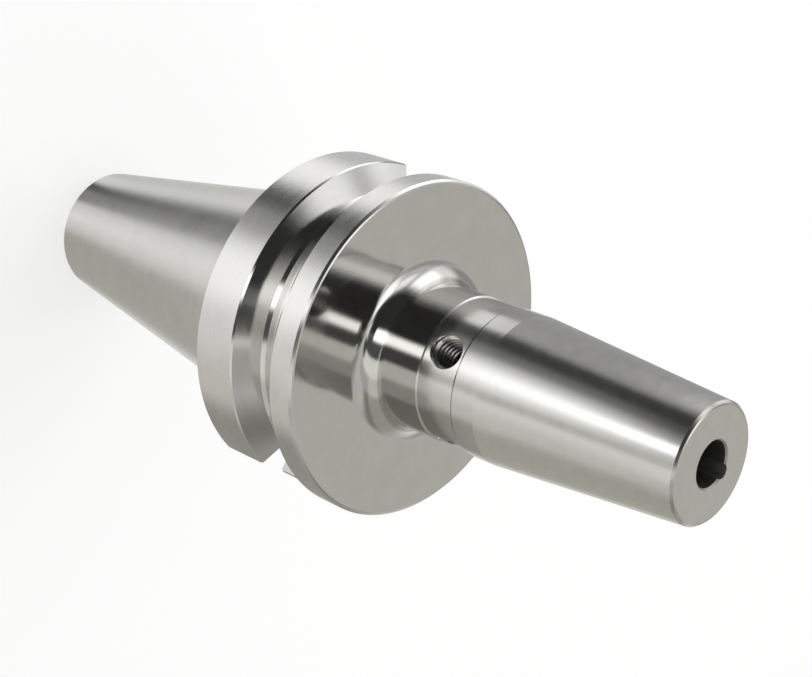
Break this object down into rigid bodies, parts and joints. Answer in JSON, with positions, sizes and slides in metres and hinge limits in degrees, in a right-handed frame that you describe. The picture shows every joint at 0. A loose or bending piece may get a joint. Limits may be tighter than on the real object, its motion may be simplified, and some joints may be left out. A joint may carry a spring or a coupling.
{
  "type": "shrink fit tool holder",
  "caption": "Steel shrink fit tool holder with a steep spindle taper, a grooved flange, a slim tapered nose with a round tool bore, and a stop screw inside.",
  "frame": {"origin": "on the axis at the gauge line, where the spindle taper has its stated diameter of 44.45 mm", "axes": "+Z along the axis from the spindle end to the nose, +X through one drive slot, +Y through the coolant groove in the tool bore"},
  "size_m": [0.063, 0.063, 0.1554],
  "materials": {
    "ground_steel": "ground, with a polished flange and neck",
    "blackened_steel": "black oxide"
  },
  "bodies": {
    "holder": {"holder_body": "ground_steel"},
    "stop_screw": {"stop_screw": "blackened_steel"}
  },
  "joints": [
    {"name": "stop_screw_travel", "type": "slide", "parent": "holder", "child": "stop_screw", "axis": [0, 0, 1], "range_m": [0, 0.01]}
  ]
}
